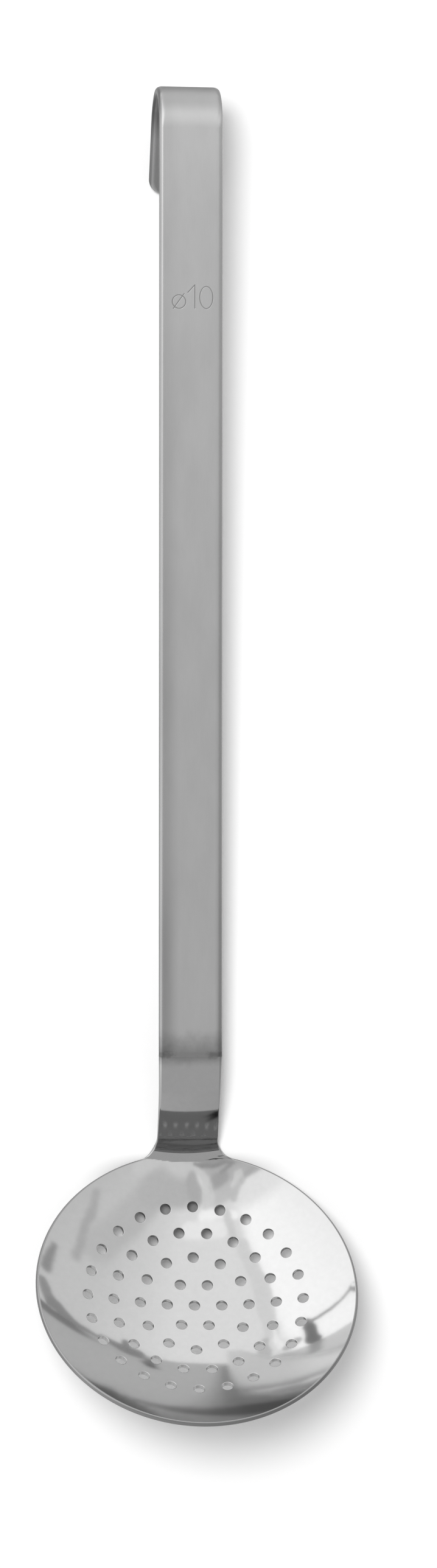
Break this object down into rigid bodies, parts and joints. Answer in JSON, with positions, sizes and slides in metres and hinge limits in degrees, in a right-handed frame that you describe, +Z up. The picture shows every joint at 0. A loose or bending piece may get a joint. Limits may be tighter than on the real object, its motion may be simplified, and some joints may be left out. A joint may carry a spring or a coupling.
{
  "type": "perforated serving spoon",
  "caption": "Skimming spoon with a round dished bowl full of small round drain holes, a bent neck, a long flat strip handle and a bent-back hanging hook.",
  "frame": {"origin": "centre of the bounding box at its base, where the spoon lies face up on a table on the heel of its bowl and the end of its hook", "axes": "+X across the bowl to the right seen from the front, +Y along the handle from the bowl to the hook, +Z up out of the table, towards the inside of the bowl"},
  "size_m": [0.0998, 0.4166, 0.0615],
  "materials": {
    "mirror_steel": "mirror polished stainless steel",
    "weld_steel": "ground weld, darker at its ends",
    "satin_steel": "satin stainless steel, rounded polished edges"
  },
  "bodies": {
    "root": {"bowl": "mirror_steel", "weld_seam": "weld_steel", "handle": "satin_steel"}
  },
  "joints": []
}
